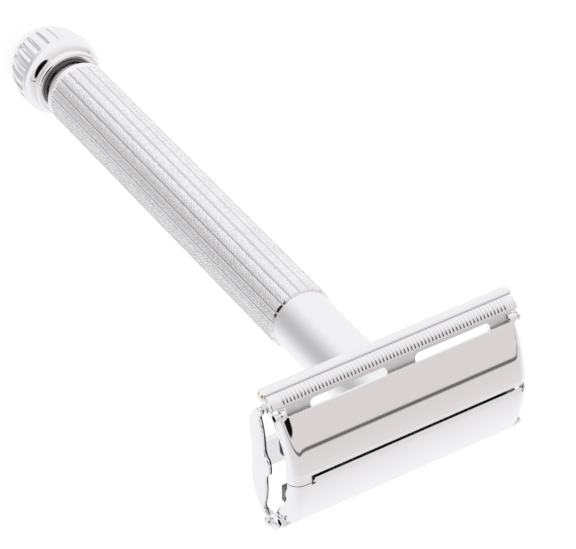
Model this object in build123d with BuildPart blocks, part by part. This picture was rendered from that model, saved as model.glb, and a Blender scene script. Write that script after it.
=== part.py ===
"""Twist-to-open double-edge safety razor, standing on its knob.

Origin: centre of the knob's flat end.  +Z runs up the handle to the head, +X along the
head's length, -Y is the front.  All sizes are millimetres.  The head's own levels are
measured from the guard plane, the height of the guard bars' inner edges.
"""

from build123d import *
from math import sqrt
import os

os.makedirs("parts", exist_ok=True)

# ---------------------------------------------------------------- driving dimensions
head_length = 43.0          # guard bars, end to end: one double-edge blade long
guard_z = 113.5             # height of the guard plane above the knob's end
running_gap = 0.03          # radial clearance of every shaft in its hole

# handle
grip_r = 5.55
grip_bore_r = 4.2
grip_bottom = 13.0
grip_top = 85.7
groove_count = 20
groove_width = 0.55
groove_depth = 0.35
grip_ring = 1.3             # plain ring at the knob end of the grip
neck_r = 5.1
neck_bore_r = 3.4
neck_spigot = 10.0          # length of neck inside the grip

# knob
knob_r = 7.15
knob_flat_r = 5.2
knob_shoulder_r = 6.1
knob_shoulder_z = 9.7
knob_rim_z = 5.5            # where the domed end meets the finger band
knob_dome_r = 6.3           # and a point half way down the dome
knob_dome_z = 2.0
knob_top = 11.1
flute_count = 24
flute_bend = 3.4            # below this the flutes lean in with the dome
flute_lean = 21.0           # degrees
flute_low = 2.4
flute_high = 7.4
flute_r = 0.75
flute_depth = 0.34

# guard plate and bars, y and z measured from the head's middle and the guard plane
sheet = 0.9
plate_crown = 1.0
plate_half_length = 20.6
bar_inner_y = 11.4
bar_edge_y = 12.85
bar_edge_z = -2.0
lip_y = 13.0
lip_bottom = -3.9
slot_length = 13.3
slot_width = 3.4
slot_x = 9.1
slot_y = 9.35
slot_shift = -0.6            # both slots of a side sit this far off the middle
lug_low_y = 3.2             # the plate's ends reach out between the end notches, from here
lug_high_y = 6.2            # to here
lug_x = 20.15               # an oval lug stands on each of those ends
lug_y = 4.5
lug_top = 1.3
notch_x = 20.5
notch_length = 2.4
rib_pitch = 0.615
rib_count = 62
boss_r = 0.85               # small round boss closing each end of the bars
boss_y = 12.45
boss_z = -3.15
boss_in = 19.6
boss_out = 22.0

# blade bed, its rivets and its locating posts
bed_thick = 0.6
bed_width = 4.6
bed_length = 36.4
post_high = 1.2
rivet_r = 0.8
rivet_head_r = 1.4
post_spacing = 31.0
rivet_spacing = 16.0

# doors
door_half_length = 21.0
door_edge_y = 10.5
door_radius = 20.7          # the doors curve on one arc from strip to edge
door_centre_y = -0.2
door_crown = 4.2            # height of that arc's top end, beside the strip
door_wall = 0.7
door_strip = 1.3            # width of the flat strip beside the gap
door_end_r = 2.2            # rounding of the doors' ends
door_gap = 0.3              # half of the gap between the doors
door_meet = 0.08            # half of the seam beyond the gap's ends
gap_low_x = -19.4           # the gap's ends
gap_high_x = 17.2
notch_wide = 0.6            # square notch at each end of the gap
notch_deep = 1.4
strip_fall = 0.07           # the strip tips down this much towards the gap
door_lip = 1.15             # depth of the turned-down lip inside each door end
tab_overlap = 1.0           # the front door's end tabs cross the middle by this

# door hinges
pivot_y = 10.2
pivot_z = 0.2
ear_r = 0.95
ear_low_x = 19.5
ear_high_x = 20.3
pin_r = 0.55

# carriage
bracket_in = 21.6
bracket_out = 22.3
arm_in = 21.05              # slim arms inside each end wall reach up to the hinges
arm_out = 21.4
arm_wide = 1.2
arm_r = 0.75
arm_foot = -3.3             # an arm's root, from here
arm_root_top = -2.3         # to here, joins it to the end wall
carriage_z = -4.9           # underside of the carriage bar
carriage_thick = 1.0
carriage_width = 5.0
nut_high = 1.0
rod_r = 1.5
rod_tip_r = 1.15

# knob spindle
spindle_r = 2.7
spindle_bottom = 3.4
spindle_top = 26.6
rod_bottom = 8.6

# values worked out from the driving dimensions
head_half = head_length / 2
plate_radius = (bar_inner_y**2 + plate_crown**2) / (2 * plate_crown)
plate_centre_z = guard_z + plate_crown - plate_radius
bed_z = guard_z + plate_crown
bar_z = guard_z + carriage_z
nut_z = bar_z + carriage_thick
bush_top = grip_bottom + 9.9
both_ends = [-1, 1]
bottom = (Align.CENTER, Align.CENTER, Align.MIN)


def arch_z(y, below=0.0):
    """Height of the plate's arched surface at y, or of the surface lying below it."""
    radius = plate_radius - below
    return plate_centre_z + sqrt(radius**2 - y**2)


rivet_low = arch_z(rivet_head_r, sheet) - 0.01
door_centre_z = door_crown - sqrt(door_radius**2 - (door_strip - door_centre_y) ** 2)
inner_shrink = (door_radius - door_wall) / door_radius


def save(piece, name):
    """Label a finished piece and write its STEP file."""
    piece.part.label = name
    export_step(piece.part, f"parts/{name}.step")


def ring(name, outer, inner, low, high):
    """A plain turned ring about the handle axis."""
    with BuildPart() as piece:
        with BuildSketch(Plane.XY.offset(low)):
            Circle(outer)
            Circle(inner, mode=Mode.SUBTRACT)
        extrude(amount=high - low)
    save(piece, name)
    return piece


# ---------------------------------------------------------------- handle
with BuildPart() as grip_sleeve:
    with BuildSketch(Plane.XY.offset(grip_bottom)):
        Circle(grip_r)
        with PolarLocations(grip_r, groove_count):
            Rectangle(2 * groove_depth, groove_width, mode=Mode.SUBTRACT)
    extrude(amount=grip_top - grip_bottom)
    with BuildSketch(Plane.XY.offset(grip_bottom)):
        Circle(grip_r)
    extrude(amount=grip_ring)
    chamfer(grip_sleeve.edges().filter_by(GeomType.CIRCLE).group_by(Axis.Z)[0], 0.5)
    with BuildSketch(Plane.XY.offset(grip_bottom)):
        Circle(grip_bore_r)
    extrude(amount=grip_top - grip_bottom, mode=Mode.SUBTRACT)
save(grip_sleeve, "grip_sleeve")

with BuildPart() as neck_tube:
    with BuildSketch(Plane.XY.offset(grip_top)):
        Circle(neck_r)
    extrude(amount=guard_z + plate_crown - grip_top)
    with BuildSketch(Plane.XY.offset(grip_top - neck_spigot)):
        Circle(grip_bore_r - 0.01)
    extrude(amount=neck_spigot)
    with BuildSketch(Plane.XY.offset(grip_top - neck_spigot)):
        Circle(neck_bore_r)
    extrude(amount=guard_z + plate_crown - grip_top + neck_spigot, mode=Mode.SUBTRACT)
    # cross slot that the carriage bar slides in
    with BuildSketch(Plane.XY.offset(bar_z - 0.2)):
        Rectangle(3 * neck_r, carriage_width + 0.2)
    extrude(amount=guard_z + plate_crown - bar_z + 0.2, mode=Mode.SUBTRACT)
    # the top follows the underside of the arched guard plate
    with BuildSketch(Plane.YZ.offset(-neck_r)):
        with Locations((0, plate_centre_z)):
            Circle(plate_radius - sheet)
    extrude(amount=2 * neck_r, mode=Mode.INTERSECT)
save(neck_tube, "neck_tube")

ring("upper_bush", neck_bore_r - 0.01, rod_r + running_gap, guard_z - 18, guard_z - 13)
ring("lower_bush", grip_bore_r - 0.01, spindle_r + running_gap, grip_bottom, bush_top)

# ---------------------------------------------------------------- guard
with BuildPart() as guard_plate:
    with BuildSketch(Plane.YZ):
        with BuildLine():
            edge_y = bar_inner_y + 0.3
            ThreePointArc(
                (-edge_y, arch_z(edge_y)), (0, guard_z + plate_crown), (edge_y, arch_z(edge_y))
            )
            Line((edge_y, arch_z(edge_y)), (edge_y, arch_z(edge_y, sheet)))
            ThreePointArc(
                (edge_y, arch_z(edge_y, sheet)),
                (0, guard_z + plate_crown - sheet),
                (-edge_y, arch_z(edge_y, sheet)),
            )
            Line((-edge_y, arch_z(edge_y, sheet)), (-edge_y, arch_z(edge_y)))
        make_face()
    extrude(amount=plate_half_length, both=True)
    # one rolled guard bar and its mirror image
    with BuildSketch(Plane.YZ):
        with BuildLine():
            lip_z = guard_z + lip_bottom
            ThreePointArc(
                (bar_inner_y, guard_z),
                (bar_inner_y + 1.05, guard_z - 0.75),
                (bar_edge_y, guard_z + bar_edge_z),
            )
            Line((bar_edge_y, guard_z + bar_edge_z), (bar_edge_y - 0.12, guard_z + bar_edge_z - 0.15))
            Line((bar_edge_y - 0.12, guard_z + bar_edge_z - 0.15), (lip_y, guard_z + bar_edge_z - 0.3))
            ThreePointArc(
                (lip_y, guard_z + bar_edge_z - 0.3),
                (lip_y + 0.12, guard_z - 3.3),
                (lip_y - 0.2, lip_z),
            )
            ThreePointArc((lip_y - 0.2, lip_z), (lip_y - 0.5, lip_z - 0.2), (lip_y - 0.8, lip_z))
            Line((lip_y - 0.8, lip_z), (bar_inner_y, guard_z - 1.6))
            Line((bar_inner_y, guard_z - 1.6), (bar_inner_y, guard_z))
        make_face()
        mirror(about=Plane.YZ)
    extrude(amount=head_half, both=True)
    # lather slots
    with BuildSketch(Plane.XY.offset(guard_z - sheet - 1)):
        with Locations((slot_shift, 0)):
            with GridLocations(2 * slot_x, 2 * slot_y, 2, 2):
                RectangleRounded(slot_length, slot_width, 0.8)
        # end notches: the outer ones clear the hinge ears, the middle one is open
        with GridLocations(2 * notch_x, bar_inner_y + lug_high_y, 2, 2):
            Rectangle(notch_length, bar_inner_y - lug_high_y)
        with GridLocations(2 * notch_x, 1, 2, 1):
            Rectangle(notch_length + 1, 2 * lug_low_y)
        # holes for the blade bed's rivets and posts
        with GridLocations(rivet_spacing, 1, 2, 1):
            Circle(rivet_r)
        with GridLocations(post_spacing, 1, 2, 1):
            Circle(rivet_r)
    extrude(amount=plate_crown + sheet + 2, mode=Mode.SUBTRACT)
    # oval lug standing at each end of the plate
    with BuildSketch(Plane.XY.offset(guard_z)):
        with GridLocations(2 * lug_x, 2 * lug_y, 2, 2):
            with Locations(Location((0, 0), 90)):
                Ellipse(1.15, 0.42)
    extrude(amount=lug_top)
    # small round boss closing each end of the bars
    for end in both_ends:
        for side in both_ends:
            with Locations((end * (boss_in + boss_out) / 2, side * boss_y, guard_z + boss_z)):
                Cylinder(boss_r, boss_out - boss_in, rotation=(0, 90, 0))
    # fine ribs: shallow grooves across the face of each bar
    for side in both_ends:
        middle = (0, side * (bar_inner_y + 1.4), guard_z - 0.62)
        face = Plane(origin=middle, x_dir=(1, 0, 0), z_dir=(0, side * 0.83, 0.557))
        with BuildSketch(face):
            with GridLocations(rib_pitch, 1, rib_count, 1):
                Rectangle(0.26, 2.3)
        extrude(amount=-0.62, mode=Mode.SUBTRACT)
save(guard_plate, "guard_plate")

with BuildPart() as blade_bed:
    with BuildSketch(Plane.XY.offset(bed_z)):
        RectangleRounded(bed_length, bed_width, 0.8)
        with GridLocations(rivet_spacing, 1, 2, 1):
            Circle(rivet_r, mode=Mode.SUBTRACT)
        with GridLocations(post_spacing, 1, 2, 1):
            Circle(rivet_r, mode=Mode.SUBTRACT)
    extrude(amount=bed_thick)
save(blade_bed, "blade_bed")

with BuildPart() as bed_rivets:
    with GridLocations(rivet_spacing, 1, 2, 1):
        with Locations((0, 0, rivet_low)):
            Cylinder(rivet_r, bed_z + bed_thick - rivet_low, align=bottom)
        with Locations((0, 0, bed_z + bed_thick)):
            Cylinder(rivet_head_r, 0.35, align=bottom)
        with Locations((0, 0, rivet_low - 0.3)):
            Cylinder(rivet_head_r, 0.3, align=bottom)
save(bed_rivets, "bed_rivets")

with BuildPart() as blade_posts:
    with GridLocations(post_spacing, 1, 2, 1):
        with Locations((0, 0, rivet_low)):
            Cylinder(rivet_r, bed_z + bed_thick - rivet_low, align=bottom)
    with BuildSketch(Plane.XY.offset(bed_z + bed_thick)):
        with GridLocations(post_spacing, 1, 2, 1):
            SlotOverall(4.2, 2.2)
    extrude(amount=post_high)
save(blade_posts, "blade_posts")

# ---------------------------------------------------------------- doors
def on_door(y, inset):
    """Height above the guard plane of the doors' arc, shrunk by inset, at y."""
    return door_centre_z + sqrt((door_radius - inset) ** 2 - (y - door_centre_y) ** 2)


def door_form(inset, half_length, end_round, drop):
    """Solid under a door's curve, shrunk by inset, lowered by drop, its ends rounded."""
    level = guard_z - drop
    shrink = (door_radius - inset) / door_radius
    edge_y = door_centre_y + shrink * (door_edge_y - door_centre_y)
    edge = (edge_y, level + on_door(edge_y, inset))
    foot_y = door_centre_y + inner_shrink * (door_edge_y - door_centre_y)
    foot = (foot_y, level + on_door(foot_y, door_wall))
    low = level - 2.0
    with BuildPart() as form:
        with BuildSketch(Plane.YZ):
            with BuildLine():
                strip = (door_strip, level + on_door(door_strip, inset))
                seam_z = strip[1] - strip_fall
                ThreePointArc(strip, (5.5, level + on_door(5.5, inset)), edge)
                if inset == 0:
                    Line(edge, foot)
                Line(foot, (foot[0], low))
                Line((foot[0], low), (-2, low))
                Line((-2, low), (-2, seam_z))
                Line((-2, seam_z), (0, seam_z))
                Line((0, seam_z), strip)
            make_face()
        extrude(amount=half_length, both=True)
        if end_round:
            rims = form.edges().filter_by(Plane.YZ).filter_by_position(Axis.Z, edge[1] - 0.1, guard_z + 9)
            fillet(rims, end_round)
    return form.part


def hinged_door(tab_middle, notch_middle):
    """Door on the +Y side: its end tabs stop at y = tab_middle, its notches at notch_middle."""
    with BuildPart() as door:
        add(door_form(0, door_half_length, door_end_r, 0))
        # hollow underneath, with a shallow lip left at each end
        inner_half = door_half_length - door_wall
        add(door_form(door_wall, inner_half, door_end_r - door_wall, 0), mode=Mode.SUBTRACT)
        add(door_form(door_wall, door_half_length + 1, 0, door_lip), mode=Mode.SUBTRACT)
        # inner edge: along the gap, round a notch at each end of it, then the tabs
        with BuildSketch(Plane.XY.offset(guard_z)):
            with Locations(((gap_low_x + gap_high_x) / 2, door_gap - 2)):
                Rectangle(gap_high_x - gap_low_x, 4)
            with Locations((0, tab_middle - 2)):
                Rectangle(3 * door_half_length, 4)
            notch_low = gap_low_x - notch_wide / 2
            notch_high = gap_high_x + notch_wide / 2
            with Locations((notch_low, notch_middle - 2), (notch_high, notch_middle - 2)):
                Rectangle(notch_wide + 0.02, 4)
        extrude(amount=door_crown + 1, mode=Mode.SUBTRACT)
        for end in both_ends:
            # room for the hinge pin, then the ear that turns on it
            with Locations((end * (ear_low_x + door_half_length) / 2, pivot_y, guard_z + pivot_z)):
                Cylinder(pin_r + 0.2, 2.2, rotation=(0, 90, 0), mode=Mode.SUBTRACT)
            with Locations((end * (ear_low_x + ear_high_x) / 2, pivot_y, guard_z + pivot_z)):
                Cylinder(ear_r, ear_high_x - ear_low_x, rotation=(0, 90, 0))
                Cylinder(pin_r + running_gap, 1.2, rotation=(0, 90, 0), mode=Mode.SUBTRACT)
    return door


rear_door = hinged_door(tab_overlap + door_meet, notch_deep)
save(rear_door, "rear_door")

mirrored_door = hinged_door(-tab_overlap, door_gap)
with BuildPart() as front_door:
    add(mirror(mirrored_door.part, about=Plane.XZ))
save(front_door, "front_door")

# ---------------------------------------------------------------- carriage
with BuildPart() as carriage_bar:
    with BuildSketch(Plane.XY.offset(bar_z)):
        Rectangle(2 * bracket_in, carriage_width)
        Circle(rod_tip_r + 0.01, mode=Mode.SUBTRACT)
    extrude(amount=carriage_thick)
save(carriage_bar, "carriage_bar")


def end_bracket(name, end):
    """End wall of the carriage: a lobed plate with a slim arm up to each hinge pin."""
    with BuildPart() as piece:
        with BuildSketch(Plane.YZ.offset(end * bracket_in)):
            with BuildLine():
                upper = Polyline(
                    (0, guard_z - 0.75),
                    (1.5, guard_z - 0.9),
                    (2.5, guard_z - 1.9),
                    (5.5, guard_z - 2.1),
                    (8.6, guard_z - 2.9),
                    (9.5, guard_z - 2.2),
                    (10.5, guard_z - 2.2),
                    (10.3, guard_z - 3.2),
                )
                side = ThreePointArc(upper @ 1, (8.8, guard_z - 4.9), (7.0, guard_z - 5.6))
                lobe = ThreePointArc(side @ 1, (4.7, guard_z - 6.05), (2.4, guard_z - 5.75))
                Line(lobe @ 1, (0, guard_z - 5.6))
                Line((0, guard_z - 5.6), (0, guard_z - 0.75))
            make_face()
            mirror(about=Plane.YZ)
        extrude(amount=end * (bracket_out - bracket_in))
        # slim arms up to the hinge pins
        with BuildSketch(Plane.YZ.offset(end * arm_in)):
            with Locations((-pivot_y, guard_z), (pivot_y, guard_z)):
                with Locations((0, (pivot_z + arm_foot) / 2)):
                    Rectangle(arm_wide, pivot_z - arm_foot)
                with Locations((0, pivot_z)):
                    Circle(arm_r)
                    Circle(pin_r, mode=Mode.SUBTRACT)
        extrude(amount=end * (arm_out - arm_in))
        with BuildSketch(Plane.YZ.offset(end * arm_in)):
            with Locations((-pivot_y, guard_z), (pivot_y, guard_z)):
                with Locations((0, (arm_root_top + arm_foot) / 2)):
                    Rectangle(arm_wide, arm_root_top - arm_foot)
        extrude(amount=end * (bracket_in - arm_in + 0.05))
    save(piece, name)
    return piece


left_end_bracket = end_bracket("left_end_bracket", -1)
right_end_bracket = end_bracket("right_end_bracket", 1)

pin_long = arm_out - ear_low_x + 0.1
pin_middle = (arm_out + ear_low_x - 0.1) / 2
with BuildPart() as hinge_pins:
    with GridLocations(2 * pin_middle, 2 * pivot_y, 2, 2):
        with Locations((0, 0, guard_z + pivot_z)):
            Cylinder(pin_r, pin_long, rotation=(0, 90, 0))
save(hinge_pins, "hinge_pins")

with BuildPart() as lift_rod:
    with BuildSketch(Plane.XY.offset(rod_bottom)):
        Circle(rod_r)
    extrude(amount=bar_z - rod_bottom)
    chamfer(lift_rod.edges().group_by(Axis.Z)[0], 0.3)
    with BuildSketch(Plane.XY.offset(bar_z)):
        Circle(rod_tip_r)
    extrude(amount=carriage_thick + nut_high)
save(lift_rod, "lift_rod")

with BuildPart() as rod_nut:
    with BuildSketch(Plane.XY.offset(nut_z)):
        RegularPolygon(2.3, 6, major_radius=False)
        Circle(rod_tip_r + 0.01, mode=Mode.SUBTRACT)
    extrude(amount=nut_high)
save(rod_nut, "rod_nut")

# ---------------------------------------------------------------- knob
plug_r = 2.6
plug_deep = 0.8
screw_head_r = 1.9
screw_head_top = 2.4
screw_r = 1.0
screw_top = 7.0

with BuildPart() as knob_shell:
    with BuildSketch(Plane.XZ):
        with BuildLine():
            Line((plug_r, 0), (knob_flat_r, 0))
            rim = ThreePointArc(
                (knob_flat_r, 0), (knob_dome_r, knob_dome_z), (knob_r, knob_rim_z)
            )
            Line(rim @ 1, (knob_r, flute_high))
            ThreePointArc((knob_r, flute_high), (6.85, 8.7), (knob_shoulder_r, knob_shoulder_z))
            Line((knob_shoulder_r, knob_shoulder_z), (spindle_r, knob_shoulder_z))
            Line((spindle_r, knob_shoulder_z), (spindle_r, spindle_bottom))
            Line((spindle_r, spindle_bottom), (screw_r, spindle_bottom))
            Line((screw_r, spindle_bottom), (screw_r, screw_head_top))
            Line((screw_r, screw_head_top), (screw_head_r, screw_head_top))
            Line((screw_head_r, screw_head_top), (screw_head_r, plug_deep))
            Line((screw_head_r, plug_deep), (plug_r, plug_deep))
            Line((plug_r, plug_deep), (plug_r, 0))
        make_face()
    revolve(axis=Axis.Z)
    # flutes around the finger band, leaning in with the dome at its lower end
    flute_middle_r = knob_r + flute_r - flute_depth
    with BuildSketch(Plane.XY.offset(flute_bend)):
        with PolarLocations(flute_middle_r, flute_count):
            Circle(flute_r)
    extrude(amount=flute_high - flute_bend, mode=Mode.SUBTRACT)
    lean = Location((flute_middle_r - 0.28, 0, flute_bend), (0, 180 + flute_lean, 0))
    with PolarLocations(0, flute_count):
        with Locations(lean):
            Cylinder(flute_r, flute_bend - flute_low, align=bottom, mode=Mode.SUBTRACT)
save(knob_shell, "knob_shell")

with BuildPart() as knob_collar:
    with BuildSketch(Plane.XY.offset(knob_shoulder_z)):
        Circle(knob_shoulder_r - 0.1)
        Circle(spindle_r + 0.01, mode=Mode.SUBTRACT)
    extrude(amount=knob_top - knob_shoulder_z)
    outer_rims = knob_collar.edges().filter_by(GeomType.CIRCLE).sort_by(SortBy.RADIUS)[-2:]
    fillet(outer_rims, 0.5)
save(knob_collar, "knob_collar")

clip_z = bush_top + 0.1
clip_thick = 0.7
clip_groove_r = 2.2
with BuildPart() as drive_sleeve:
    with BuildSketch(Plane.XY.offset(spindle_bottom)):
        Circle(spindle_r - 0.01)
    extrude(amount=spindle_top - spindle_bottom)
    with BuildSketch(Plane.XY.offset(rod_bottom - 0.6)):
        Circle(rod_r + running_gap)
    extrude(amount=spindle_top - rod_bottom + 0.6, mode=Mode.SUBTRACT)
    with BuildSketch(Plane.XY.offset(spindle_bottom)):
        Circle(screw_r)
    extrude(amount=screw_top - spindle_bottom, mode=Mode.SUBTRACT)
    with BuildSketch(Plane.XY.offset(clip_z)):
        Circle(spindle_r)
        Circle(clip_groove_r, mode=Mode.SUBTRACT)
    extrude(amount=clip_thick, mode=Mode.SUBTRACT)
save(drive_sleeve, "drive_sleeve")

with BuildPart() as retaining_ring:
    with BuildSketch(Plane.XY.offset(clip_z + 0.05)):
        Circle(3.7)
        Circle(clip_groove_r + 0.05, mode=Mode.SUBTRACT)
        with Locations((3, 0)):
            Rectangle(3, 1.6, mode=Mode.SUBTRACT)
    extrude(amount=clip_thick - 0.1)
save(retaining_ring, "retaining_ring")

ring("spring_washer", 4.2, spindle_r + 0.1, knob_top, knob_top + 0.5)
ring("thrust_washer", 4.4, spindle_r + 0.1, knob_top + 0.5, grip_bottom - 0.05)

with BuildPart() as knob_screw:
    with BuildSketch(Plane.XY.offset(plug_deep)):
        Circle(screw_head_r - 0.05)
    extrude(amount=screw_head_top - plug_deep)
    with BuildSketch(Plane.XY.offset(plug_deep)):
        Rectangle(3.0, 0.5)
    extrude(amount=0.6, mode=Mode.SUBTRACT)
    with BuildSketch(Plane.XY.offset(screw_head_top)):
        Circle(screw_r - 0.01)
    extrude(amount=screw_top - screw_head_top - 0.1)
save(knob_screw, "knob_screw")

with BuildPart() as knob_end_plug:
    with BuildSketch():
        Circle(plug_r - 0.01)
    extrude(amount=plug_deep)
save(knob_end_plug, "knob_end_plug")
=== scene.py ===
"""Twist-to-open safety razor in bright chrome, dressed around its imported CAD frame.

Lengths in the shape code are millimetres and are turned into metres when a mesh is made.
"""

import math

import bmesh
import bpy
import numpy as np
from mathutils import Matrix, Vector


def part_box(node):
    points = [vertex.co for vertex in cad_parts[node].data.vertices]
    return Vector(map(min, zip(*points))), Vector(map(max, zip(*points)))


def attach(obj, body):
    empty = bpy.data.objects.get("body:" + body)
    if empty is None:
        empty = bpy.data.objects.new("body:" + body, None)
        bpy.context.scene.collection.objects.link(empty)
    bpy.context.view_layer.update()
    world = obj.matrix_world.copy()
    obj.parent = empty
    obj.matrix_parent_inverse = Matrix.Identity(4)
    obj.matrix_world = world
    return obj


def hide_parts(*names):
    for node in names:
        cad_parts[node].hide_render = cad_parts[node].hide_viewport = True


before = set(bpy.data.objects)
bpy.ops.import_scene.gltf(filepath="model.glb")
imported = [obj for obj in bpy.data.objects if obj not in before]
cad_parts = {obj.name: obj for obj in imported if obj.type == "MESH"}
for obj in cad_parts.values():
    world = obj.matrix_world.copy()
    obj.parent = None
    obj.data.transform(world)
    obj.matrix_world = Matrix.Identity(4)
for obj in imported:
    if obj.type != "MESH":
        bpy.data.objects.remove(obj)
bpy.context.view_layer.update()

MM = 0.001
END_SIDES = {-1: "left", 1: "right"}
LONG_SIDES = {-1: "front", 1: "rear"}


def mm_box(node):
    """Lowest and highest corner of a CAD node, in millimetres."""
    low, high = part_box(node)
    return np.array(low) / MM, np.array(high) / MM


# ---------------------------------------------------------------- materials
def new_material(name):
    material = bpy.data.materials.new(name)
    material.use_nodes = True
    return material, material.node_tree.nodes, material.node_tree.links


def add_node(nodes, kind, **settings):
    node = nodes.new(kind)
    for key, value in settings.items():
        setattr(node, key, value)
    return node


def object_noise(nodes, links, scale, stretch=(1, 1, 1), detail=4):
    """Noise in object space; scale is features per metre."""
    coord = add_node(nodes, "ShaderNodeTexCoord")
    mapping = add_node(nodes, "ShaderNodeMapping")
    mapping.inputs["Scale"].default_value = stretch
    noise = add_node(nodes, "ShaderNodeTexNoise")
    noise.inputs["Scale"].default_value = scale
    noise.inputs["Detail"].default_value = detail
    links.new(coord.outputs["Object"], mapping.inputs["Vector"])
    links.new(mapping.outputs["Vector"], noise.inputs["Vector"])
    return noise


def value_range(nodes, links, source, low, high):
    """Noise, which mostly lies between 0.3 and 0.7, spread over low to high."""
    spread = add_node(nodes, "ShaderNodeMapRange")
    spread.inputs["From Min"].default_value = 0.3
    spread.inputs["From Max"].default_value = 0.7
    spread.inputs["To Min"].default_value = low
    spread.inputs["To Max"].default_value = high
    links.new(source, spread.inputs["Value"])
    return spread.outputs["Result"]


def metal(name, tint, rough_low, rough_high, scratch=0.02, painted_shade_tone=None):
    """Plated metal: cloudy polish, fine hairline scratches, optional painted shade, a dark tone laid on by a
    value per vertex.
    """
    material, nodes, links = new_material(name)
    shader = nodes["Principled BSDF"]
    shader.inputs["Metallic"].default_value = 1
    clouds = object_noise(nodes, links, 260)
    rough = value_range(nodes, links, clouds.outputs["Fac"], rough_low, rough_high)
    links.new(rough, shader.inputs["Roughness"])
    # colour: barely uneven, as plating is
    film = object_noise(nodes, links, 90)
    ramp = add_node(nodes, "ShaderNodeValToRGB")
    ramp.color_ramp.elements[0].color = (*[c * 0.985 for c in tint], 1)
    ramp.color_ramp.elements[1].color = (*tint, 1)
    links.new(film.outputs["Fac"], ramp.inputs["Fac"])
    colour = ramp.outputs["Color"]
    # painted shade: mix towards the dark tone by the value per vertex
    if painted_shade_tone:
        shade = add_node(nodes, "ShaderNodeAttribute", attribute_name="painted_shade_amount")
        mix = add_node(nodes, "ShaderNodeMix", data_type="RGBA")
        links.new(shade.outputs["Fac"], mix.inputs["Factor"])
        links.new(colour, mix.inputs["A"])
        mix.inputs["B"].default_value = (*painted_shade_tone, 1)
        colour = mix.outputs["Result"]
    links.new(colour, shader.inputs["Base Color"])
    # hairline scratches in two directions
    bump = add_node(nodes, "ShaderNodeBump")
    bump.inputs["Strength"].default_value = scratch
    bump.inputs["Distance"].default_value = 0.00002
    first = object_noise(nodes, links, 900, (0.06, 1, 1), 6)
    second = object_noise(nodes, links, 1100, (1, 0.08, 0.5), 6)
    both = add_node(nodes, "ShaderNodeMath", operation="MULTIPLY")
    links.new(first.outputs["Fac"], both.inputs[0])
    links.new(second.outputs["Fac"], both.inputs[1])
    links.new(both.outputs[0], bump.inputs["Height"])
    links.new(bump.outputs["Normal"], shader.inputs["Normal"])
    return material


CHROME_TINT = (0.93, 0.93, 0.935)
chrome = metal("chrome", CHROME_TINT, 0.02, 0.06)
inside_chrome = metal("inside_chrome", (0.92, 0.92, 0.92), 0.42, 0.55, 0.05)
# painted shade: dark metal put where the doors shade the plate and their own insides, and as a dark
# reflection line on the end walls
painted_shade_chrome = metal("painted_shade_chrome", (0.16, 0.155, 0.16), 0.1, 0.2)
satin_chrome = metal("satin_chrome", (0.9, 0.9, 0.905), 0.08, 0.16, 0.05)
# the grip's and the ribs' dark tone is painted shade in their hollows
grip_chrome = metal("grip_chrome", (0.99, 0.985, 0.985), 0.13, 0.24, 0.08, painted_shade_tone=(0.78, 0.77, 0.77))
rib_chrome = metal("rib_chrome", CHROME_TINT, 0.12, 0.18, 0.03, painted_shade_tone=(0.60, 0.58, 0.59))
brass = metal("brass", (0.86, 0.72, 0.42), 0.08, 0.2, 0.05)
pale_brass = metal("pale_brass", (0.95, 0.93, 0.80), 0.06, 0.14, 0.03)
bed_steel = metal("bed_steel", (0.30, 0.295, 0.30), 0.1, 0.22, 0.05)
steel = metal("steel", (0.62, 0.62, 0.63), 0.15, 0.3, 0.08)
grey_steel = metal("grey_steel", (0.46, 0.42, 0.41), 0.05, 0.12, 0.05)
dark_steel = metal("dark_steel", (0.16, 0.15, 0.15), 0.2, 0.35, 0.08)
edge_satin = metal("edge_satin", (0.92, 0.905, 0.905), 0.4, 0.5, 0.05)
# close to the doors the plate's edges would mirror only dark metal, so they are mostly matt
edge_satin.node_tree.nodes["Principled BSDF"].inputs["Metallic"].default_value = 0.15


# ---------------------------------------------------------------- mesh helpers
def make_piece(name, points, faces, material, body, sharp_angle=32, painted_shade_amount=None):
    """Mesh object from millimetre points, with an optional value per vertex that sets how much painted shade
    the material lays on.
    """
    mesh = bpy.data.meshes.new(name)
    mesh.from_pydata((np.asarray(points, float) * MM).tolist(), [], faces)
    if painted_shade_amount is not None:
        layer = mesh.attributes.new("painted_shade_amount", "FLOAT", "POINT")
        layer.data.foreach_set("value", np.asarray(painted_shade_amount, np.float32))
    tidy = bmesh.new()
    tidy.from_mesh(mesh)
    bmesh.ops.recalc_face_normals(tidy, faces=tidy.faces)
    tidy.to_mesh(mesh)
    tidy.free()
    mesh.polygons.foreach_set("use_smooth", [True] * len(mesh.polygons))
    mesh.set_sharp_from_angle(angle=math.radians(sharp_angle))
    mesh.materials.append(material)
    piece = bpy.data.objects.new(name, mesh)
    bpy.context.scene.collection.objects.link(piece)
    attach(piece, body)
    return piece


def grid_faces(rows, columns, wrap_rows=False, wrap_columns=False):
    """Quads over a rows x columns grid of vertices stored row after row."""
    faces = []
    for i in range(rows if wrap_rows else rows - 1):
        i2 = (i + 1) % rows
        for j in range(columns if wrap_columns else columns - 1):
            j2 = (j + 1) % columns
            faces.append((i * columns + j, i * columns + j2, i2 * columns + j2, i2 * columns + j))
    return faces


def smooth_step(value, low, high):
    t = np.clip((np.asarray(value, float) - low) / (high - low), 0, 1)
    return t * t * (3 - 2 * t)


def arc(centre, radius, start, end, count):
    """Points on an arc, angles in degrees."""
    turn = np.radians(np.linspace(start, end, count))
    return [(centre[0] + radius * math.cos(a), centre[1] + radius * math.sin(a)) for a in turn]


def turned(profile, angles, radial=None):
    """Grid of points turned about Z from (radius, z) pairs. radial(r, z, angles) may alter radii."""
    rows = []
    for r, z in profile:
        radii = np.full(len(angles), float(r))
        if radial:
            radii = radial(radii, z, angles)
        rows.append(np.stack([radii * np.cos(angles), radii * np.sin(angles), np.full(len(angles), z)], 1))
    return np.concatenate(rows)


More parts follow.
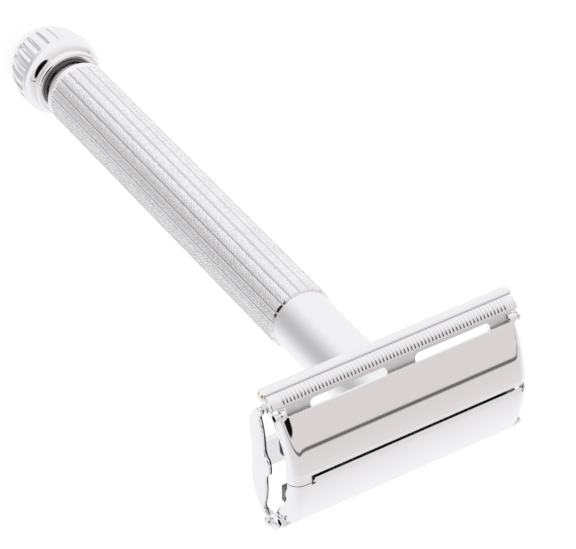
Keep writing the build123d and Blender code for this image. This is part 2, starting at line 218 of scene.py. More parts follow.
# ---------------------------------------------------------------- sizes read from the frame
plate_high = mm_box("guard_plate")[1]
grip_low, grip_high = mm_box("grip_sleeve")
neck_high = mm_box("neck_tube")[1]
knob_high = mm_box("knob_shell")[1]
collar_high = mm_box("knob_collar")[1]
bed_low = mm_box("blade_bed")[0]
pins_high = mm_box("hinge_pins")[1]

GUARD_Z = bed_low[2] - 1.0          # guard plane: the blade bed sits on the plate's crown


# ---------------------------------------------------------------- grip
GROOVES = 20
GROOVE_HALF = 0.18
GROOVE_DEPTH = 0.38
GRIP_RING = 1.3
GRIP_CHAMFER = 0.45
KNURL_PITCH = 0.58          # round the grip
KNURL_RISE = 0.74           # along the grip
KNURL_DEPTH = 0.075


def build_grip():
    radius = grip_high[0]
    bottom, top = grip_low[2], grip_high[2]
    around = GROOVES * 24
    angles = np.arange(around) * 2 * math.pi / around
    pitch = 2 * math.pi * radius / GROOVES
    along = (angles * radius / pitch + 0.5) % 1 * pitch - pitch / 2      # mm from the nearest groove
    from_groove = np.abs(along)
    groove = GROOVE_DEPTH * (1 - smooth_step(from_groove, 0.05, GROOVE_HALF))
    land = smooth_step(from_groove, GROOVE_HALF, GROOVE_HALF + 0.12)
    crown = 0.10 * ((from_groove - pitch / 2) / (pitch / 2)) ** 2        # each land is slightly round
    z_values = np.concatenate([
        np.linspace(bottom + GRIP_RING, top - 0.46, 620), np.linspace(top - 0.44, top, 8),
    ])
    rng = np.random.default_rng(7)
    # peened texture: grains about a third of a millimetre across, with finer grit over them
    grains = rng.uniform(0, 1, (len(z_values) // 3 + 1, around // 4))
    grains = np.repeat(np.repeat(grains, 3, 0), 4, 1)[:len(z_values)]
    rough = 0.036 * (grains - 0.5) + rng.normal(0, 0.011, grains.shape)
    rows, painted_shade_rows = [], []
    arc_length = angles * radius
    for i, z in enumerate(z_values):
        lean = 2 * math.pi * (arc_length / KNURL_PITCH)
        rise = 2 * math.pi * ((z - bottom) / KNURL_RISE)
        one_way, other_way = np.abs(np.sin((lean + rise) / 2)), np.abs(np.sin((lean - rise) / 2))
        knurl = (1 - np.minimum(one_way, other_way)) ** 2
        fade = smooth_step(z, bottom + GRIP_RING, bottom + GRIP_RING + 0.35)
        sink = land * (KNURL_DEPTH * knurl + rough[i]) * fade
        r = radius - groove * fade - crown * fade - np.maximum(sink, 0)
        r = np.minimum(r, radius - np.maximum(0.0, z - (top - GRIP_CHAMFER)))
        rows.append(np.stack([r * np.cos(angles), r * np.sin(angles), np.full(around, z)], 1))
        # painted shade darkens the grooves and knurl hollows, and a painted speckle of light and dark lies
        # over the grains
        tone = land * (0.2 * knurl + 0.6 * grains[i] ** 1.5) * fade
        painted_shade_rows.append(np.clip(groove / GROOVE_DEPTH + tone, 0, 1) * fade)
    # plain ring below, with an eased edge, then the bore
    bore, counterbore = neck_high[0] - 0.85, neck_high[0] - 0.25
    ring_top = bottom + GRIP_RING
    plain = [(bore, bottom), (radius - 0.45, bottom), (radius - 0.2, bottom + 0.12),
             (radius - 0.06, bottom + 0.32), (radius - 0.02, bottom + 0.6),
             (radius - 0.02, ring_top - 0.25), (radius - 0.1, ring_top - 0.05)]
    head = [(counterbore, top - 0.02), (counterbore, top - 0.5), (bore, top - 0.6)]
    low = turned(plain, angles)
    high = turned(head, angles)
    points = np.concatenate([low, np.concatenate(rows), high])
    rows_total = len(plain) + len(z_values) + len(head)
    # the bore is painted in shade, the plain ring is not
    painted_shade_amount = np.concatenate([np.zeros(len(low)), np.concatenate(painted_shade_rows), np.full(len(high), 0.95)])
    faces = grid_faces(rows_total, around, wrap_rows=True, wrap_columns=True)
    piece = make_piece("knurled_grip", points, faces, grip_chrome, "handle", 50, painted_shade_amount)
    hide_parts("grip_sleeve")


# ---------------------------------------------------------------- doors
STRIP = 1.3
STRIP_FALL = 0.07
CROWN = 4.2
EDGE_Y = 10.5
DOOR_RADIUS = 20.7
DOOR_CENTRE_Y = -0.2
DOOR_CENTRE_Z = CROWN - math.sqrt(DOOR_RADIUS**2 - (STRIP - DOOR_CENTRE_Y) ** 2)
DOOR_HALF = 21.0
WALL = 0.7
END_ROUND = 2.2
END_TURN = 81
EDGE_EASE = 0.1
GAP = 0.3
TAB_REACH = 1.0
SEAM = 0.08
NOTCH_RIGHT = (17.2, 17.8)
NOTCH_LEFT = (-20.0, -19.4)


def circle_through(a, b, c):
    """Centre and radius of the circle through three points."""
    (x1, y1), (x2, y2), (x3, y3) = a, b, c
    d = 2 * (x1 * (y2 - y3) + x2 * (y3 - y1) + x3 * (y1 - y2))
    s1, s2, s3 = x1**2 + y1**2, x2**2 + y2**2, x3**2 + y3**2
    ux = (s1 * (y2 - y3) + s2 * (y3 - y1) + s3 * (y1 - y2)) / d
    uy = (s1 * (x3 - x2) + s2 * (x1 - x3) + s3 * (x2 - x1)) / d
    return np.array([ux, uy]), math.hypot(x1 - ux, y1 - uy)


def door_section():
    """Door outline beyond the strip: (y, z, normal y, normal z) rows above the guard plane."""
    start = math.asin((STRIP - DOOR_CENTRE_Y) / DOOR_RADIUS)
    stop = math.asin((EDGE_Y - DOOR_CENTRE_Y) / DOOR_RADIUS)
    rows = []
    for a in np.linspace(start, stop - EDGE_EASE / DOOR_RADIUS, 70):
        ny, nz = math.sin(a), math.cos(a)
        rows.append((DOOR_CENTRE_Y + DOOR_RADIUS * ny, DOOR_CENTRE_Z + DOOR_RADIUS * nz, ny, nz))
    ny, nz = math.sin(stop), math.cos(stop)
    for turn in np.radians([30, 60, 90]):
        back, along = EDGE_EASE * (1 - math.cos(turn)), EDGE_EASE * (math.sin(turn) - 1)
        rows.append((DOOR_CENTRE_Y + (DOOR_RADIUS - back) * ny + along * nz,
                     DOOR_CENTRE_Z + (DOOR_RADIUS - back) * nz - along * ny, ny, nz))
    return np.array(rows)


def strip_height(y):
    """Top of the flat strip beside the gap, level beyond the middle."""
    return CROWN - STRIP_FALL * np.clip((STRIP - y) / STRIP, 0, 1)


def seam_edge(x, is_front):
    """Where the door's inner edge lies at x: along the gap, round the notches, along the tabs."""
    if NOTCH_LEFT[1] <= x <= NOTCH_RIGHT[0]:
        return GAP
    in_right = NOTCH_RIGHT[0] < x < NOTCH_RIGHT[1]
    in_left = NOTCH_LEFT[0] < x < NOTCH_LEFT[1]
    if is_front:
        return GAP if in_right or in_left else -TAB_REACH
    if in_right or in_left:
        return 1.4
    return TAB_REACH + SEAM


def end_station(turn, share=0.0):
    """Station on the +X end's rounding at the given angle."""
    flat, inner_round = DOOR_HALF - END_ROUND, END_ROUND - WALL
    return (flat + END_ROUND * math.sin(turn), END_ROUND * (1 - math.cos(turn)),
            flat + inner_round * math.sin(turn), WALL + inner_round * (1 - math.cos(turn)), share)


def door_stations():
    """(outer x, outer drop, inner x, inner drop, cheek share) from the -X end to the +X end."""
    flat, last = DOOR_HALF - END_ROUND, math.radians(END_TURN)
    right = [end_station(turn) for turn in np.linspace(0, last, 16)]
    right += [end_station(last, share) for share in (0.25, 0.6, 1.0)]
    left = [(-a, b, -c, d, e) for a, b, c, d, e in reversed(right)]
    # split the rounded end where the walls of the left notch cross it
    for wall in NOTCH_LEFT:
        for x in (abs(wall) - 0.003, abs(wall) + 0.003):
            a, b, c, d, e = end_station(math.asin((x - flat) / END_ROUND))
            left.append((-a, b, -c, d, e))
    left.sort(key=lambda station: (-station[4], station[0]))
    xs = set(np.linspace(-flat, flat, 60).tolist()[1:-1])
    for wall in NOTCH_RIGHT:
        xs.update([wall - 0.003, wall + 0.003])
    return left + [(x, 0.0, x, WALL, 0.0) for x in sorted(xs)] + right


def door_points(is_front):
    section = door_section()
    near_strip = np.concatenate([np.linspace(GAP, 1.12, 10), [1.17, 1.22, 1.26, 1.285]])
    rows_outer, rows_inner = [], []
    for x, drop, inner_x, inner_drop, share in door_stations():
        s = seam_edge(x, is_front)
        ys = s + (near_strip - GAP) * (1.15 - s) / (1.15 - GAP) if s < 1.15 else near_strip
        ys = np.where(near_strip > 1.15, near_strip, ys)
        y = np.concatenate([ys, section[:, 0]])
        z = np.concatenate([strip_height(ys), section[:, 1]])
        # a hairline crease between the strip and the curved part
        z = z - 0.028 * np.exp(-((y - STRIP) / 0.045) ** 2)
        ny = np.concatenate([np.full(len(ys), -0.055), section[:, 2]])
        nz = np.concatenate([np.full(len(ys), 0.9985), section[:, 3]])
        floor_y = s + 0.0006 * np.arange(len(y))
        y = np.maximum(y, floor_y)
        lip = 0.02 + 1.0 * smooth_step(y, 5.2, 8.8)
        low = share * lip
        outer = np.stack([np.full(len(y), x), y - ny * drop, z - nz * drop - low], 1)
        inner = np.stack([np.full(len(y), inner_x), y - ny * inner_drop, z - nz * inner_drop - low], 1)
        # the inner edge stays straight: undo the sideways part of the drop there
        hold = 1 - smooth_step(y, s, s + 1.2)
        outer[:, 1] = outer[:, 1] * (1 - hold) + y * hold
        inner[:, 1] = inner[:, 1] * (1 - hold) + y * hold
        rows_outer.append(outer)
        rows_inner.append(inner)
    return rows_outer, rows_inner


def ear_points(x_low, x_high, y, z, outer, inner, count=40):
    """Points and faces of a pierced round ear about an X axis."""
    ring = [(x_low, inner), (x_low, outer - 0.08), (x_low + 0.08, outer), (x_high - 0.08, outer),
            (x_high, outer - 0.08), (x_high, inner)]
    turn = np.arange(count) * 2 * math.pi / count
    points = [(x, y + r * math.cos(a), z + r * math.sin(a)) for x, r in ring for a in turn]
    return np.array(points), grid_faces(len(ring), count, wrap_rows=True, wrap_columns=True)


def build_door(name, node, body, is_front):
    outer, inner = door_points(is_front)
    stations, columns = len(outer), len(outer[0])
    points = np.concatenate(outer + inner[::-1])
    faces = grid_faces(2 * stations, columns, wrap_rows=True)
    # close the seam edge and the outer edge
    for i in range(stations - 1):
        a, b = i * columns, (i + 1) * columns
        c, d = (2 * stations - 1 - i) * columns, (2 * stations - 2 - i) * columns
        faces.append((a, b, d, c))
        last = columns - 1
        faces.append((a + last, c + last, d + last, b + last))
    points[:, 2] += GUARD_Z
    pivot_y, pivot_z = pins_high[1] - 0.55, pins_high[2] - 0.55
    for end in (-1, 1):
        ear, ear_faces = ear_points(end * 19.5, end * 20.3, pivot_y, pivot_z, 0.95, 0.58)
        faces += [tuple(v + len(points) for v in face) for face in ear_faces]
        points = np.concatenate([points, ear])
    if is_front:
        points[:, 1] *= -1
    piece = make_piece(name, points, faces, chrome, body, 30)
    # the inside is satin, with painted shade in dark metal beside the seam and where it turns down at the
    # ends
    piece.data.materials.append(inside_chrome)
    piece.data.materials.append(painted_shade_chrome)
    row = columns - 1
    for face in list(piece.data.polygons)[stations * row:(2 * stations - 1) * row]:
        in_painted_shade = abs(face.center.x) > SHADOWED_END * MM or abs(face.center.y) < 2.0 * MM
        face.material_index = 2 if in_painted_shade else 1
    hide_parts(node)


# ---------------------------------------------------------------- guard
SLOT = (13.3, 3.4)
SLOT_MIDDLE = (9.1, 9.35)
SLOT_SHIFT = -0.6
SHEET = 0.9
PLATE_CROWN = 1.0
BAR_INNER = 11.4
PLATE_RADIUS = (BAR_INNER**2 + PLATE_CROWN**2) / (2 * PLATE_CROWN)
PLATE_HALF = 20.6
SHADOWED_END = 18.9         # beyond this |x| dark metal is painted as shade from the doors' turned-down ends


def plate_height(y, below=0.0):
    return PLATE_CROWN - PLATE_RADIUS + np.sqrt((PLATE_RADIUS - below) ** 2 - np.asarray(y, float) ** 2)


def rounded_rectangle(cx, cy, width, height, radius, count=7):
    """Corner points of a rounded rectangle, anticlockwise."""
    points = []
    for sx, sy, start in ((1, 1, 0), (-1, 1, 90), (-1, -1, 180), (1, -1, 270)):
        corner = (cx + sx * (width / 2 - radius), cy + sy * (height / 2 - radius))
        points += arc(corner, radius, start, start + 90, count)
    return points


def prism(name, outline, low, high):
    """Closed upright prism, used as a cutting tool."""
    count = len(outline)
    points = [(x, y, low) for x, y in outline] + [(x, y, high) for x, y in outline]
    faces = [tuple(range(count))[::-1], tuple(range(count, 2 * count))]
    faces += [(i, (i + 1) % count, count + (i + 1) % count, count + i) for i in range(count)]
    mesh = bpy.data.meshes.new(name)
    mesh.from_pydata([(x * MM, y * MM, z * MM) for x, y, z in points], [], faces)
    tool = bpy.data.objects.new(name, mesh)
    bpy.context.scene.collection.objects.link(tool)
    return tool


def cut(piece, tools):
    """Subtract the tools from the piece and bake the result into its mesh."""
    for tool in tools:
        modifier = piece.modifiers.new("cut", "BOOLEAN")
        modifier.operation = "DIFFERENCE"
        modifier.solver = "EXACT"
        modifier.object = tool
    bpy.context.view_layer.update()
    shape = bpy.data.meshes.new_from_object(piece.evaluated_get(bpy.context.evaluated_depsgraph_get()))
    piece.modifiers.clear()
    old = piece.data
    piece.data = shape
    bpy.data.meshes.remove(old)
    for tool in tools:
        mesh = tool.data
        bpy.data.objects.remove(tool)
        bpy.data.meshes.remove(mesh)
    shape.polygons.foreach_set("use_smooth", [True] * len(shape.polygons))
    shape.set_sharp_from_angle(angle=math.radians(25))


def build_plate():
    """Arched guard plate with lather slots and end notches."""
    half = PLATE_HALF
    edge = BAR_INNER + 0.35
    ys = np.linspace(-edge, edge, 61)
    section = [(y, plate_height(y)) for y in ys] + [(y, plate_height(y, SHEET)) for y in ys[::-1]]
    xs = np.linspace(-half, half, 25)
    points = [(x, y, z + GUARD_Z) for x in xs for y, z in section]
    columns = len(section)
    faces = grid_faces(len(xs), columns, wrap_columns=True)
    faces += [tuple(range(columns))[::-1], tuple((len(xs) - 1) * columns + i for i in range(columns))]
    piece = make_piece("guard_sheet", points, faces, chrome, "handle")
    tools = []
    low, high = GUARD_Z - 3, GUARD_Z + 3
    for sx in (-1, 1):
        for sy in (-1, 1):
            outline = rounded_rectangle(sx * SLOT_MIDDLE[0] + SLOT_SHIFT, sy * SLOT_MIDDLE[1], *SLOT, 0.8)
            tools.append(prism("slot_tool", outline, low, high))
            notch = rounded_rectangle(sx * half, sy * 8.75, 2.6, 5.1, 0.3)
            tools.append(prism("notch_tool", notch, low, high))
        tools.append(prism("end_tool", rounded_rectangle(sx * half, 0, 3.6, 6.4, 0.5), low, high))
    cut(piece, tools)
    # the plate's ends get painted shade in dark metal where they lie under the doors; its edges are satin
    piece.data.materials.append(painted_shade_chrome)
    piece.data.materials.append(edge_satin)
    for face in piece.data.polygons:
        if abs(face.center.x) > SHADOWED_END * MM and abs(face.center.y) < 7 * MM:
            face.material_index = 1
        elif abs(face.center.y) > 8.9 * MM and face.normal.z > 0.5:
            face.material_index = 2
    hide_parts("guard_plate")


def bar_section():
    """Closed outline of a guard bar in (y, z): rib face, groove, rolled lip, inside."""
    centre, radius = circle_through((BAR_INNER, 0), (BAR_INNER + 1.05, -0.75), (12.85, -2.0))
    start = math.atan2(-centre[1], BAR_INNER - centre[0])
    stop = math.atan2(-2.0 - centre[1], 12.85 - centre[0])
    face = arc(centre, radius, math.degrees(start), math.degrees(stop), 26)
    groove = [(12.80, -2.05), (12.73, -2.13), (12.74, -2.2), (12.84, -2.25)]
    lip_centre, lip_radius = circle_through((12.9, -2.3), (13.22, -3.2), (12.9, -3.95))
    a0 = math.atan2(-2.3 - lip_centre[1], 12.9 - lip_centre[0])
    a1 = math.atan2(-3.95 - lip_centre[1], 12.9 - lip_centre[0])
    lip = arc(lip_centre, lip_radius, math.degrees(a0), math.degrees(a1), 14)
    roll = arc((12.55, -3.88), 0.36, -12, -170, 9)
    inside = [(12.0, -3.2), (11.7, -2.4), (11.45, -1.7), (11.15, -1.1), (11.1, -0.5), (11.2, -0.12)]
    return face, groove, lip, roll, inside


RIB_PITCH = 0.615
RIB_SPAN = 19.9
RIB_SINK = 0.11


def build_bar(name, side):
    face, groove, lip, roll, inside = bar_section()
    section = np.array(face + groove + lip + roll + inside)
    n = len(section)
    before, after = np.roll(section, 1, 0), np.roll(section, -1, 0)
    tangent = after - before
    normal = np.stack([-tangent[:, 1], tangent[:, 0]], 1)
    normal /= np.linalg.norm(normal, axis=1)[:, None]
    if normal[5, 0] < 0:
        normal = -normal
    share = np.arange(len(face)) / (len(face) - 1)
    on_face = np.zeros(n)
    on_face[:len(face)] = smooth_step(share, -0.12, 0.02) * (1 - 0.75 * smooth_step(share, 0.1, 0.9))
    half = plate_high[0] - 0.5
    flat = half - 0.15
    xs = np.concatenate([[-half, -half + 0.06], np.linspace(-flat, flat, 980), [half - 0.06, half]])
    rows, painted_shade_rows = [], []
    for x in xs:
        phase = (x / RIB_PITCH) % 1
        rib = np.exp(-((phase - 0.5) / 0.17) ** 2)
        inside_span = 1 - smooth_step(abs(x), RIB_SPAN - 0.15, RIB_SPAN)
        sink = RIB_SINK * rib * inside_span * on_face
        end = max(0.0, abs(x) - flat)
        sink = sink + 0.9 * end
        cut_back = section - normal * np.broadcast_to(sink, n)[:, None]
        rows.append(np.column_stack([np.full(n, x), cut_back]))
        # painted shade in the hollows between the ribs and all along the groove
        shade = rib * inside_span * on_face
        shade[len(face) - 1:len(face) + len(groove)] = 1.0
        painted_shade_rows.append(shade)
    points = np.concatenate(rows)
    points[:, 2] += GUARD_Z
    points[:, 1] *= side
    faces = grid_faces(len(xs), n, wrap_columns=True)
    faces += [tuple(range(n))[::-1], tuple((len(xs) - 1) * n + i for i in range(n))]
    piece = make_piece(name, points, faces, rib_chrome, "handle", 60, np.concatenate(painted_shade_rows))


def build_bosses():
    """Small domed plugs that close the ends of the guard bars; one shows bare metal."""
    for end in (-1, 1):
        for side in (-1, 1):
            profile = [(0.0, 0.52), (0.3, 0.5), (0.6, 0.42), (0.78, 0.25), (0.85, 0.0), (0.85, -1.2)]
            turn = np.arange(32) * 2 * math.pi / 32
            points = [(end * (21.5 + h), side * 12.35 + r * math.cos(a), GUARD_Z - 3.1 + r * math.sin(a))
                      for r, h in profile[1:] for a in turn]
            count = len(points)
            points.append((end * 22.0, side * 12.35, GUARD_Z - 3.1))
            faces = grid_faces(len(profile) - 1, 32, wrap_columns=True)
            faces += [(count, i, (i + 1) % 32) for i in range(32)]
            faces.append(tuple(range(count - 32, count)))
            bare = end > 0 and side < 0
            name = f"bar_boss_{END_SIDES[end]}_{LONG_SIDES[side]}"
            piece = make_piece(name, points, faces, pale_brass if bare else chrome, "handle")


def build_lugs():
    """Rounded upturned lugs at the plate's ends."""
    for end in (-1, 1):
        for side in (-1, 1):
            outline = arc((0, 0), 1, 0, 360, 25)[:-1]
            points, rows = [], 0
            for h, scale in ((-0.6, 0.86), (-0.2, 1.0), (0.3, 1.0), (0.6, 0.95), (0.82, 0.8), (0.92, 0.5)):
                rows += 1
                for u, v in outline:
                    points.append((end * 20.15 + 0.42 * scale * u, side * 4.5 + 1.15 * scale * v,
                                   GUARD_Z + 0.4 + h))
            faces = grid_faces(rows, 24, wrap_columns=True)
            faces += [tuple(range(24)), tuple((rows - 1) * 24 + i for i in range(24))]
            name = f"plate_lug_{END_SIDES[end]}_{LONG_SIDES[side]}"
            piece = make_piece(name, points, faces, chrome, "handle", 40)


# ---------------------------------------------------------------- end brackets
CRESCENT = [
    (0, -0.75), (0.9, -0.8), (1.5, -1.1), (2.0, -1.7), (2.9, -2.0), (4.2, -2.05), (5.6, -2.15), (7.2, -2.45),
    (8.4, -2.82), (9.0, -2.75), (9.4, -2.35), (9.9, -2.15), (10.35, -2.25), (10.5, -2.65), (10.3, -3.2),
    (9.9, -3.8), (9.1, -4.5), (8.2, -5.15), (7.1, -5.65), (5.9, -5.98), (4.7, -6.05), (3.5, -5.98),
    (2.4, -5.78), (1.2, -5.62), (0, -5.58),
]


def refined(ring):
    """Closed outline made smooth with three more points between each pair."""
    dense = []
    for i in range(len(ring)):
        p0, p1, p2, p3 = (ring[(i + k) % len(ring)] for k in (-1, 0, 1, 2))
        for t in (0, 0.25, 0.5, 0.75):
            dense.append(0.5 * ((2 * p1) + (p2 - p0) * t + (2 * p0 - 5 * p1 + 4 * p2 - p3) * t**2
                                + (3 * p1 - p0 - 3 * p2 + p3) * t**3))
    return np.array(dense)


def slab(ring, levels):
    """Closed solid along X from a (y, z) outline and (x, inset) levels: points and faces."""
    tangent = np.roll(ring, -1, 0) - np.roll(ring, 1, 0)
    normal = np.stack([tangent[:, 1], -tangent[:, 0]], 1)
    normal /= np.linalg.norm(normal, axis=1)[:, None]
    area = np.sum(ring[:, 0] * np.roll(ring[:, 1], -1) - np.roll(ring[:, 0], -1) * ring[:, 1])
    if area < 0:
        normal = -normal
    points = []
    for x, inset in levels:
        flat = ring - normal * inset
        points += [(x, y, z + GUARD_Z) for y, z in flat]
    n = len(ring)
    faces = grid_faces(len(levels), n, wrap_columns=True)
    faces += [tuple(range(n)), tuple((len(levels) - 1) * n + i for i in range(n))]
    return points, faces


def build_bracket(name, node, end):
    """Crescent end wall with its two slim hinge arms."""
    half = np.array(CRESCENT)
    ring = refined(np.concatenate([half, (half * [-1, 1])[-2:0:-1]]))
    inner_x, outer_x, ease = 21.6, 22.3, 0.26
    levels = [(inner_x, 0.12), (inner_x + 0.05, 0.03), (inner_x + 0.15, 0.0), (inner_x + 0.28, 0.0)]
    for turn in np.radians(np.linspace(0, 90, 6)):
        levels.append((outer_x - ease * (1 - math.sin(turn)), ease * (1 - math.cos(turn))))
    points, faces = slab(ring, levels)
    arm = [(9.6, -3.3), (9.6, -1.2)] + arc((10.2, 0.2), 0.75, 217, -37, 22) + [(10.8, -1.2), (10.8, -3.3)]
    root = [(9.6, -3.3), (9.6, -2.3), (10.8, -2.3), (10.8, -3.3)]
    for side in (-1, 1):
        for outline, levels in ((arm, [(21.05, 0.06), (21.11, 0.0), (21.34, 0.0), (21.4, 0.06)]),
                                (root, [(21.3, 0.1), (21.66, 0.1)])):
            arm_points, arm_faces = slab(np.array(outline) * [side, 1], levels)
            faces += [tuple(v + len(points) for v in face) for face in arm_faces]
            points += arm_points
    points = np.array(points) * [end, 1, 1]
    piece = make_piece(name, points, faces, chrome, "carriage", 40)
    # painted dark reflection: a thin line of dark metal along the top of each end wall's inner edge
    piece.data.materials.append(painted_shade_chrome)
    for face in piece.data.polygons:
        if face.normal.z > 0.5 and 21.5 * MM < abs(face.center.x) < 21.85 * MM:
            face.material_index = 1
    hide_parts(node)


# ---------------------------------------------------------------- knob
FLUTES = 24
FLUTE_HALF = 0.62
FLUTE_DEPTH = 0.34


def build_knob():
    radius = knob_high[0]
    around = FLUTES * 20
    angles = np.arange(around) * 2 * math.pi / around
    pitch = 2 * math.pi * radius / FLUTES
    offset = np.abs((angles * radius / pitch + 0.5) % 1 * pitch - pitch / 2)

    def fluted(radii, z, turn):
        reach = smooth_step(z, 2.0, 3.0) * (1 - smooth_step(z, 7.25, 7.45))
        hollow = FLUTE_DEPTH * np.clip(1 - (offset / FLUTE_HALF) ** 2, 0, None)
        return radii - hollow * reach

    rim_centre, rim_radius = circle_through((5.2, 0), (6.3, 2.0), (radius, 5.5))
    r0 = math.degrees(math.atan2(0 - rim_centre[1], 5.2 - rim_centre[0]))
    r1 = math.degrees(math.atan2(5.5 - rim_centre[1], radius - rim_centre[0]))
    if r1 - r0 > 180:
        r1 -= 360
    shoulder_centre, shoulder_radius = circle_through((radius, 7.6), (6.88, 8.75), (6.1, 9.7))
    s0 = math.degrees(math.atan2(7.6 - shoulder_centre[1], radius - shoulder_centre[0]))
    s1 = math.degrees(math.atan2(9.7 - shoulder_centre[1], 6.1 - shoulder_centre[0]))
    profile = [(2.62, 0.35), (2.62, 0.08), (2.7, 0.0)] + arc(rim_centre, rim_radius, r0, r1, 44)
    profile += [(radius, z) for z in np.linspace(5.6, 7.5, 24)]
    profile += arc(shoulder_centre, shoulder_radius, s0, s1, 16)
    profile += [(5.95, 9.78), (5.6, 9.8), (2.75, 9.8), (2.72, 5.0), (2.62, 4.0)]
    points = turned(profile, angles, fluted)
    faces = grid_faces(len(profile), around, wrap_rows=True, wrap_columns=True)
    piece = make_piece("fluted_knob", points, faces, chrome, "knob", 50)
    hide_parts("knob_shell")


def build_collar():
    angles = np.arange(144) * 2 * math.pi / 144
    low, high, radius = 9.72, collar_high[2], collar_high[0]
    profile = [(2.75, low), (radius - 0.5, low), (radius - 0.25, low + 0.06)]
    profile += arc((radius - 0.45, low + 0.5), 0.45, -60, 0, 6)
    profile += arc((radius - 0.5, high - 0.5), 0.5, 0, 90, 8)
    profile += [(4.7, high), (4.55, high - 0.12), (2.75, high - 0.12)]
    points = turned(profile, angles)
    faces = grid_faces(len(profile), len(angles), wrap_rows=True, wrap_columns=True)
    piece = make_piece("bright_collar", points, faces, chrome, "knob", 40)
    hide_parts("knob_collar")


def build_thrust_washer():
    """Bevelled washer seen in the recess between the collar and the grip."""
    angles = np.arange(120) * 2 * math.pi / 120
    low, high = mm_box("thrust_washer")
    bottom, top, radius = low[2], high[2], high[0]
    profile = [(2.85, bottom), (radius - 0.1, bottom), (radius, bottom + 0.08), (radius - 0.06, bottom + 0.2),
               (radius - 0.9, top - 0.2), (radius - 1.0, top), (2.85, top)]
    points = turned(profile, angles)
    faces = grid_faces(len(profile), len(angles), wrap_rows=True, wrap_columns=True)
    piece = make_piece("bevelled_washer", points, faces, grey_steel, "handle", 40)
    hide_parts("thrust_washer")


# ---------------------------------------------------------------- CAD nodes that stay
NODE_FINISH = {
    "neck_tube": chrome, "blade_bed": bed_steel, "blade_posts": bed_steel, "bed_rivets": bed_steel,
    "hinge_pins": chrome, "carriage_bar": satin_chrome, "rod_nut": satin_chrome, "knob_end_plug": chrome,
    "upper_bush": brass, "lower_bush": steel, "thrust_washer": dark_steel, "spring_washer": dark_steel,
    "lift_rod": steel, "drive_sleeve": steel, "retaining_ring": steel, "knob_screw": steel,
}


def dress_cad_nodes():
    for name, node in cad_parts.items():
        node.data.materials.clear()
        node.data.materials.append(NODE_FINISH.get(name, chrome))
        node.data.polygons.foreach_set("use_smooth", [True] * len(node.data.polygons))
        node.data.set_sharp_from_angle(angle=math.radians(25))


# ---------------------------------------------------------------- stage, light and camera
CAMERA_AZIMUTH = 31.46
CAMERA_ELEVATION = 42.77
CAMERA_ROLL = 135.1
CAMERA_DISTANCE = 0.593
CAMERA_AIM = Vector((-0.0040, 0.0, 0.0750))
CAMERA_LENS = 236.3


def camera_back():
    azimuth, elevation = math.radians(CAMERA_AZIMUTH), math.radians(CAMERA_ELEVATION)
    return Vector((math.sin(azimuth) * math.cos(elevation), -math.cos(azimuth) * math.cos(elevation),
                   math.sin(elevation)))


def add_camera():
    back = camera_back()
    azimuth = math.radians(CAMERA_AZIMUTH)
    level = Vector((math.cos(azimuth), math.sin(azimuth), 0))
    roll = math.radians(CAMERA_ROLL)
    right = level * math.cos(roll) + back.cross(level) * math.sin(roll)
    up = back.cross(right)
    camera_data = bpy.data.cameras.new("camera")
    camera = bpy.data.objects.new("camera", camera_data)
    bpy.context.scene.collection.objects.link(camera)
    place = Matrix((right, up, back)).transposed().to_4x4()
    place.translation = CAMERA_AIM + back * CAMERA_DISTANCE
    camera.matrix_world = place
    camera_data.lens = CAMERA_LENS
    camera_data.clip_start = 0.01
    bpy.context.scene.camera = camera


def add_floor():
    size = 3.0
    mesh = bpy.data.meshes.new("floor")
    corners = [(-size, -size, 0), (size, -size, 0), (size, size, 0), (-size, size, 0)]
    mesh.from_pydata(corners, [], [(0, 1, 2, 3)])
    floor = bpy.data.objects.new("floor", mesh)
    bpy.context.scene.collection.objects.link(floor)
    material, nodes, links = new_material("floor_white")
    shader = nodes["Principled BSDF"]
    shader.inputs["Base Color"].default_value = (0.9, 0.9, 0.9, 1)
    shader.inputs["Roughness"].default_value = 1
    shader.inputs["Emission Color"].default_value = (1, 1, 1, 1)
    shader.inputs["Emission Strength"].default_value = 0.5
    mesh.materials.append(material)
    floor.visible_glossy = False         # the chrome mirrors the studio, not the floor


# A plain studio: pale all round, softly greyer overhead and to one side, with a straight gap between
# two overhead panels and one dark card behind the camera. Light values and degrees.
STUDIO_WHITE = (0.95, 0.95, 0.97)
OVERHEAD_GREY = (0.75, 0.70, 0.70)
SIDE_GREY = (0.55, 0.54, 0.55)
PANEL_GAP = (0.15, 0.15, 0.15)
CARD_DARK = (0.005, 0.005, 0.005)
SIDE_TURN = -45
GAP_TURN = -15
CARD_TURN, CARD_RISE = -30, 50
CARD_HALF_TURN, CARD_HALF_RISE = 35, 25


def math_node(nodes, links, operation, first, second=None):
    node = add_node(nodes, "ShaderNodeMath", operation=operation)
    for slot, value in enumerate((first, second)):
        if value is None:
            continue
        if isinstance(value, (int, float)):
            node.inputs[slot].default_value = value
        else:
            links.new(value, node.inputs[slot])
    return node.outputs[0]


def dot_with(nodes, links, direction, axis):
    node = add_node(nodes, "ShaderNodeVectorMath", operation="DOT_PRODUCT")
    links.new(direction, node.inputs[0])
    node.inputs[1].default_value = axis
    return node.outputs["Value"]


def soft_step(nodes, links, source, none_at, full_at):
    """Smooth share from 0 at one value of the source to 1 at the other."""
    step = add_node(nodes, "ShaderNodeMapRange", interpolation_type="SMOOTHSTEP")
    step.inputs["From Min"].default_value = none_at
    step.inputs["From Max"].default_value = full_at
    links.new(source, step.inputs["Value"])
    return step.outputs["Result"]


def off_angle(nodes, links, turn, degrees):
    """How far a turn lies from an angle, either way."""
    difference = math_node(nodes, links, "SUBTRACT", turn, math.radians(degrees))
    return math_node(nodes, links, "ABSOLUTE", difference)


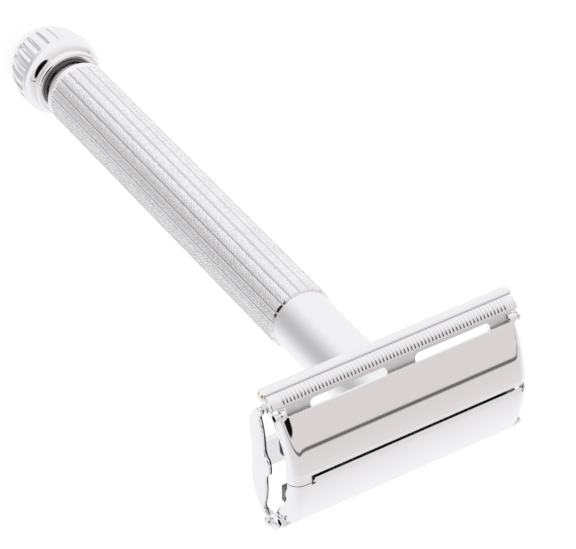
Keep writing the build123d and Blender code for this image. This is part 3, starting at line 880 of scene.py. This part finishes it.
def paint(nodes, links, colour, share, tone):
    """Lay a tone over the studio's colour."""
    mix = add_node(nodes, "ShaderNodeMix", data_type="RGBA")
    links.new(share, mix.inputs["Factor"])
    if isinstance(colour, tuple):
        mix.inputs["A"].default_value = (*colour, 1)
    else:
        links.new(colour, mix.inputs["A"])
    mix.inputs["B"].default_value = (*tone, 1)
    return mix.outputs["Result"]


def add_world():
    """The studio the chrome mirrors; it also lights the scene."""
    world = bpy.data.worlds.new("studio")
    bpy.context.scene.world = world
    world.use_nodes = True
    nodes, links = world.node_tree.nodes, world.node_tree.links
    background = nodes["Background"]
    direction = add_node(nodes, "ShaderNodeTexCoord").outputs["Generated"]
    back = camera_back()
    level = Vector((back.x, back.y, 0)).normalized()
    side = Vector((level.y, -level.x, 0))
    front = dot_with(nodes, links, direction, (0, -1, 0))
    z = dot_with(nodes, links, direction, (0, 0, 1))
    overhead_turn = math_node(nodes, links, "ARCTAN2", front, z)
    around_turn = math_node(nodes, links, "ARCTAN2", dot_with(nodes, links, direction, side),
                            dot_with(nodes, links, direction, level))

    # greyer overhead, paling to the front and back
    above = soft_step(nodes, links, z, -0.55, -0.3)
    off_top = off_angle(nodes, links, overhead_turn, 0)
    overhead = soft_step(nodes, links, off_top, math.radians(100), math.radians(10))
    share = math_node(nodes, links, "MULTIPLY", overhead, above)
    shade = paint(nodes, links, STUDIO_WHITE, share, OVERHEAD_GREY)
    # greyer to one side, low down
    low = math_node(nodes, links, "SUBTRACT", 1.0, above)
    beside = soft_step(nodes, links, off_angle(nodes, links, around_turn, SIDE_TURN), math.radians(80), 0.0)
    share = math_node(nodes, links, "MULTIPLY", beside, low)
    shade = paint(nodes, links, shade, share, SIDE_GREY)
    # the gap between the overhead panels
    off_gap = off_angle(nodes, links, overhead_turn, GAP_TURN)
    gap = soft_step(nodes, links, off_gap, math.radians(2.5), math.radians(1))
    share = math_node(nodes, links, "MULTIPLY", gap, above)
    shade = paint(nodes, links, shade, share, PANEL_GAP)
    # the card behind the camera, a soft-edged oval
    across = math_node(nodes, links, "DIVIDE", off_angle(nodes, links, around_turn, CARD_TURN),
                       math.radians(CARD_HALF_TURN))
    rise = math_node(nodes, links, "ARCSINE", z)
    upward = math_node(nodes, links, "DIVIDE", off_angle(nodes, links, rise, CARD_RISE),
                       math.radians(CARD_HALF_RISE))
    spread = math_node(nodes, links, "ADD", math_node(nodes, links, "MULTIPLY", across, across),
                       math_node(nodes, links, "MULTIPLY", upward, upward))
    shade = paint(nodes, links, shade, soft_step(nodes, links, spread, 1.15, 0.85), CARD_DARK)
    links.new(shade, background.inputs["Color"])
    background.inputs["Strength"].default_value = 1.0


dress_cad_nodes()
build_grip()
build_plate()
build_bar("guard_bar_front", -1)
build_bar("guard_bar_rear", 1)
build_bosses()
build_lugs()
build_door("front_door_shell", "front_door", "front_door", True)
build_door("rear_door_shell", "rear_door", "rear_door", False)
build_bracket("left_bracket_shell", "left_end_bracket", -1)
build_bracket("right_bracket_shell", "right_end_bracket", 1)
build_knob()
build_collar()
build_thrust_washer()
add_floor()
add_world()
add_camera()
bpy.context.scene.view_settings.view_transform = "Standard"
